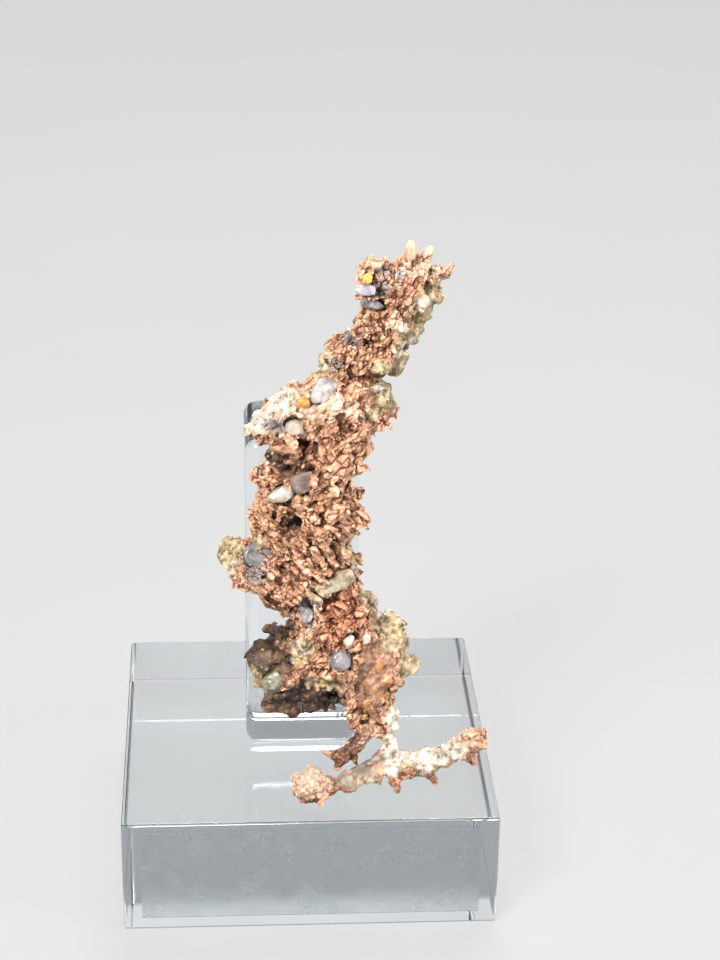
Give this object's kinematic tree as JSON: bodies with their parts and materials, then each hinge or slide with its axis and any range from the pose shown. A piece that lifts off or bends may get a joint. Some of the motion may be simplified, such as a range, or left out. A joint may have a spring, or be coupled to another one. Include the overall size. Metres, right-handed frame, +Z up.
{
  "type": "native copper specimen on a clear stand",
  "caption": "Crystalline branching native copper specimen with quartz grains, fixed to a clear square post on a clear base block.",
  "frame": {"origin": "centre of the base block's underside", "axes": "+Z up, the front with the specimen and the label film faces -Y, +X to the right seen from the front"},
  "size_m": [0.04, 0.0405, 0.0736],
  "materials": {
    "acrylic": "clear polished acrylic",
    "film": "clear adhesive film, bare",
    "copper": "native copper, crystalline, pinkish brown with dark crevices and a cream crust",
    "quartz": "grey to white translucent quartz",
    "amber": "amber coloured translucent grain"
  },
  "bodies": {
    "root": {"base_block": "acrylic", "upright_post": "acrylic", "label_film": "film", "copper_trunk": "copper", "copper_upper_arm": "copper", "copper_short_branch": "copper", "copper_blade": "copper", "copper_right_arm": "copper", "quartz_pebble_ledge": "quartz", "quartz_pebble_shoulder": "quartz", "quartz_pebble_waist": "quartz", "quartz_clear_recess": "quartz", "quartz_patch_lobe": "quartz", "quartz_band": "quartz", "quartz_pebble_violet": "quartz", "quartz_pebble_green": "quartz", "quartz_lath_head_upper": "quartz", "quartz_lath_head_lower": "quartz", "quartz_prism_foot": "quartz", "quartz_grain_white_left": "quartz", "quartz_grain_white_right": "quartz", "quartz_grain_white_small": "quartz", "amber_bead_ledge": "amber", "amber_bead_head": "amber"}
  },
  "joints": []
}
